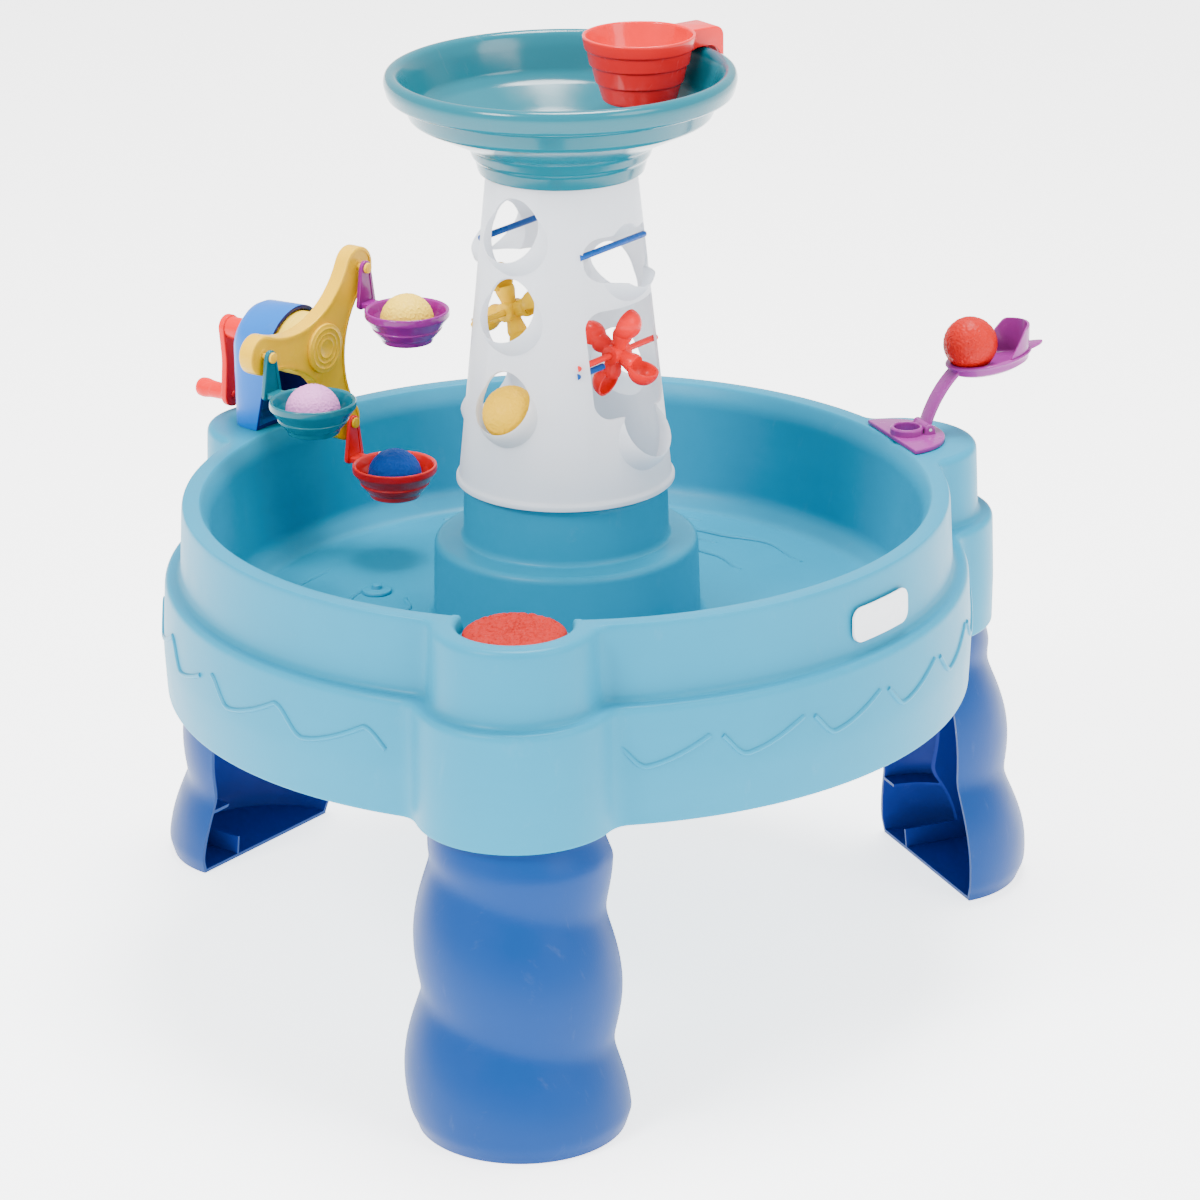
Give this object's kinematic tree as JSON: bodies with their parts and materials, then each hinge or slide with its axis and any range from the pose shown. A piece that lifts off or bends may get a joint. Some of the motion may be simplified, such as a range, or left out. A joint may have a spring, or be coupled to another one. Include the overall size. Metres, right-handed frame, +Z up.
{
  "type": "sand and water table",
  "caption": "Round sand and water table on half-round legs, with a pocketed tower under a funnel, a hand-cranked wheel of buckets and a sprung ball flinger.",
  "frame": {"origin": "on the floor, at the middle of the table's footprint", "axes": "+Z is up; -Y points to the front lobe, which carries the round disc; the wheel's lobe is at 240 degrees and the flinger's at 120 degrees, counted from -Y towards +X"},
  "size_m": [0.8079, 0.8036, 0.8175],
  "materials": {
    "axle_peg": "glossy moulded",
    "basin": "matt moulded",
    "blank_plate": "glossy moulded",
    "blue_ball": "matt moulded",
    "bracket_screw_front": "plain",
    "bracket_screw_rear": "plain",
    "crank_arm": "glossy moulded",
    "crank_knob": "glossy moulded",
    "cup": "glossy moulded",
    "drain_plug": "matt moulded",
    "ferris_wheel": "glossy moulded",
    "flinger_arm": "glossy moulded",
    "flinger_base": "glossy moulded",
    "flinger_pin": "plain",
    "front_leg": "matt moulded",
    "front_leg_screw": "plain",
    "funnel": "glossy moulded",
    "gold_ball": "matt moulded",
    "left_leg": "matt moulded",
    "left_leg_screw": "plain",
    "orange_ball": "matt moulded",
    "pink_ball": "matt moulded",
    "purple_bucket": "glossy moulded",
    "purple_bucket_pin": "glossy moulded",
    "red_bucket": "glossy moulded",
    "red_bucket_pin": "glossy moulded",
    "red_spinner": "glossy moulded",
    "red_spinner_axle": "glossy moulded",
    "right_leg": "matt moulded",
    "right_leg_screw": "plain",
    "splash_disc": "matt moulded",
    "teal_bucket": "glossy moulded",
    "teal_bucket_pin": "glossy moulded",
    "tower_shell": "milky translucent moulded",
    "upper_rod_red_side": "glossy moulded",
    "upper_rod_yellow_side": "glossy moulded",
    "wheel_axle": "plain",
    "wheel_bracket": "glossy moulded",
    "wheel_drum": "matt moulded",
    "yellow_ball": "matt moulded",
    "yellow_spinner": "glossy moulded",
    "yellow_spinner_axle": "glossy moulded"
  },
  "bodies": {
    "table": {"basin": "basin", "blank_plate": "blank_plate", "front_leg": "front_leg", "right_leg": "right_leg", "left_leg": "left_leg", "front_leg_screw": "front_leg_screw", "right_leg_screw": "right_leg_screw", "left_leg_screw": "left_leg_screw", "tower_shell": "tower_shell", "funnel": "funnel", "red_spinner_axle": "red_spinner_axle", "yellow_spinner_axle": "yellow_spinner_axle", "upper_rod_red_side": "upper_rod_red_side", "upper_rod_yellow_side": "upper_rod_yellow_side", "axle_peg": "axle_peg", "wheel_bracket": "wheel_bracket", "bracket_screw_front": "bracket_screw_front", "bracket_screw_rear": "bracket_screw_rear", "flinger_base": "flinger_base", "flinger_pin": "flinger_pin"},
    "wheel": {"ferris_wheel": "ferris_wheel", "wheel_drum": "wheel_drum", "wheel_axle": "wheel_axle", "crank_arm": "crank_arm", "purple_bucket_pin": "purple_bucket_pin", "red_bucket_pin": "red_bucket_pin", "teal_bucket_pin": "teal_bucket_pin"},
    "crank_knob": {"crank_knob": "crank_knob"},
    "purple_bucket": {"purple_bucket": "purple_bucket"},
    "red_bucket": {"red_bucket": "red_bucket"},
    "teal_bucket": {"teal_bucket": "teal_bucket"},
    "red_spinner": {"red_spinner": "red_spinner"},
    "yellow_spinner": {"yellow_spinner": "yellow_spinner"},
    "flinger_arm": {"flinger_arm": "flinger_arm"},
    "cup": {"cup": "cup"},
    "yellow_ball": {"yellow_ball": "yellow_ball"},
    "blue_ball": {"blue_ball": "blue_ball"},
    "pink_ball": {"pink_ball": "pink_ball"},
    "orange_ball": {"orange_ball": "orange_ball"},
    "gold_ball": {"gold_ball": "gold_ball"},
    "drain_plug": {"drain_plug": "drain_plug"},
    "splash_disc": {"splash_disc": "splash_disc"}
  },
  "joints": [
    {"name": "wheel_spin", "type": "hinge", "parent": "table", "child": "wheel", "pos_m": [-0.25888, 0.1978, 0.505], "axis": [-0.866, 0.5, 0], "continuous": true},
    {"name": "crank_knob_spin", "type": "hinge", "parent": "wheel", "child": "crank_knob", "pos_m": [-0.34721, 0.2488, 0.441], "axis": [-0.866, 0.5, 0], "continuous": true},
    {"name": "purple_bucket_swing", "type": "hinge", "parent": "wheel", "child": "purple_bucket", "pos_m": [-0.20563, 0.22703, 0.56846], "axis": [-0.866, 0.5, 0], "continuous": true},
    {"name": "yellow_ball_lift", "type": "slide", "parent": "purple_bucket", "child": "yellow_ball", "axis": [0, 0, 1], "range_m": [0, 0.045]},
    {"name": "red_bucket_swing", "type": "hinge", "parent": "wheel", "child": "red_bucket", "pos_m": [-0.2171, 0.20715, 0.42829], "axis": [-0.866, 0.5, 0], "continuous": true},
    {"name": "blue_ball_lift", "type": "slide", "parent": "red_bucket", "child": "blue_ball", "axis": [0, 0, 1], "range_m": [0, 0.045]},
    {"name": "teal_bucket_swing", "type": "hinge", "parent": "wheel", "child": "teal_bucket", "pos_m": [-0.27206, 0.11197, 0.51825], "axis": [-0.866, 0.5, 0], "continuous": true},
    {"name": "pink_ball_lift", "type": "slide", "parent": "teal_bucket", "child": "pink_ball", "axis": [0, 0, 1], "range_m": [0, 0.045]},
    {"name": "red_spinner_spin", "type": "hinge", "parent": "table", "child": "red_spinner", "pos_m": [0.04856, 0.0203, 0.56], "axis": [0.5, 0.866, 0], "continuous": true},
    {"name": "yellow_spinner_spin", "type": "hinge", "parent": "table", "child": "yellow_spinner", "pos_m": [-0.05016, 0.0773, 0.578], "axis": [-0.5, -0.866, 0], "continuous": true},
    {"name": "flinger_bend", "type": "hinge", "parent": "table", "child": "flinger_arm", "pos_m": [0.30031, 0.22726, 0.4335], "axis": [0.5, -0.866, 0], "range_deg": [-6, 20], "stiffness_Nm_per_rad": 0.9},
    {"name": "orange_ball_lift", "type": "slide", "parent": "flinger_arm", "child": "orange_ball", "axis": [-0.1205, -0.0696, 0.9903], "range_m": [0, 0.05]},
    {"name": "gold_ball_lift", "type": "slide", "parent": "table", "child": "gold_ball", "axis": [-0.3774, -0.6536, 0.6561], "range_m": [0, 0.06]},
    {"name": "cup_lift", "type": "slide", "parent": "table", "child": "cup", "axis": [0, 0, 1], "range_m": [0, 0.08]},
    {"name": "drain_plug_lift", "type": "slide", "parent": "table", "child": "drain_plug", "axis": [0, 0, 1], "range_m": [0, 0.03]},
    {"name": "splash_disc_lift", "type": "slide", "parent": "table", "child": "splash_disc", "axis": [0, 0, 1], "range_m": [0, 0.03]}
  ],
  "couplings": [
    {"joint": "purple_bucket_swing", "follows": "wheel_spin", "ratio": -1},
    {"joint": "red_bucket_swing", "follows": "wheel_spin", "ratio": -1},
    {"joint": "teal_bucket_swing", "follows": "wheel_spin", "ratio": -1}
  ]
}
